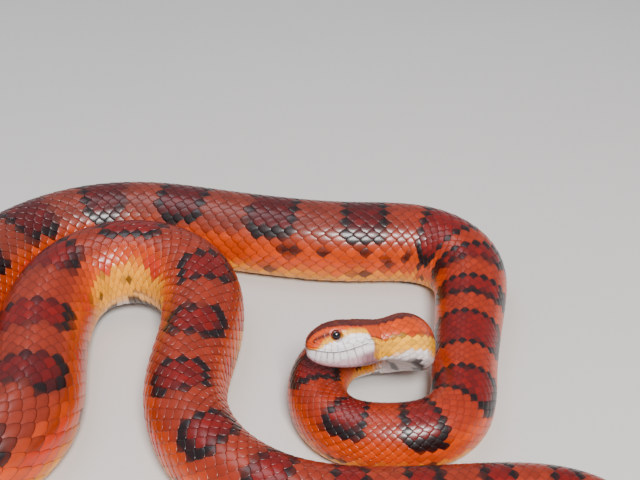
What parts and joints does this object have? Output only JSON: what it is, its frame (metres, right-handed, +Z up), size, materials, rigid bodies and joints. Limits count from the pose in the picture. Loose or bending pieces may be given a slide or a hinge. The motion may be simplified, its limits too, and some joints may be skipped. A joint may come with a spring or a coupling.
{
  "type": "corn snake",
  "caption": "Life-size corn snake at rest, its body laid in loops on a flat floor and its head lifted just above a small coil, mouth shut.",
  "frame": {"origin": "on the floor, under the middle of the laid-out body", "axes": "+Z up from the floor; -Y towards the picture's camera, +X to that camera's right; the snout points towards -X"},
  "size_m": [0.295, 0.2242, 0.0435],
  "materials": {
    "body_skin": "satin scales",
    "crown_skin": "smooth shields with a soft shine",
    "chin_skin": "smooth shields with a soft shine",
    "eye": "wet gloss"
  },
  "bodies": {
    "root": {"head": "crown_skin", "lower_jaw": "chin_skin", "eye_left": "eye", "eye_right": "eye", "neck_front": "body_skin", "neck_rear": "body_skin", "trunk_01": "body_skin", "trunk_02": "body_skin", "trunk_03": "body_skin", "trunk_04": "body_skin", "trunk_05": "body_skin", "trunk_06": "body_skin", "trunk_07": "body_skin", "trunk_08": "body_skin", "trunk_09": "body_skin", "trunk_10": "body_skin", "trunk_11": "body_skin", "trunk_12": "body_skin", "trunk_13": "body_skin", "trunk_14": "body_skin", "trunk_15": "body_skin", "trunk_16": "body_skin", "trunk_17": "body_skin", "trunk_18": "body_skin", "tail_base": "body_skin", "tail_middle": "body_skin", "tail_tip": "body_skin"}
  },
  "joints": []
}
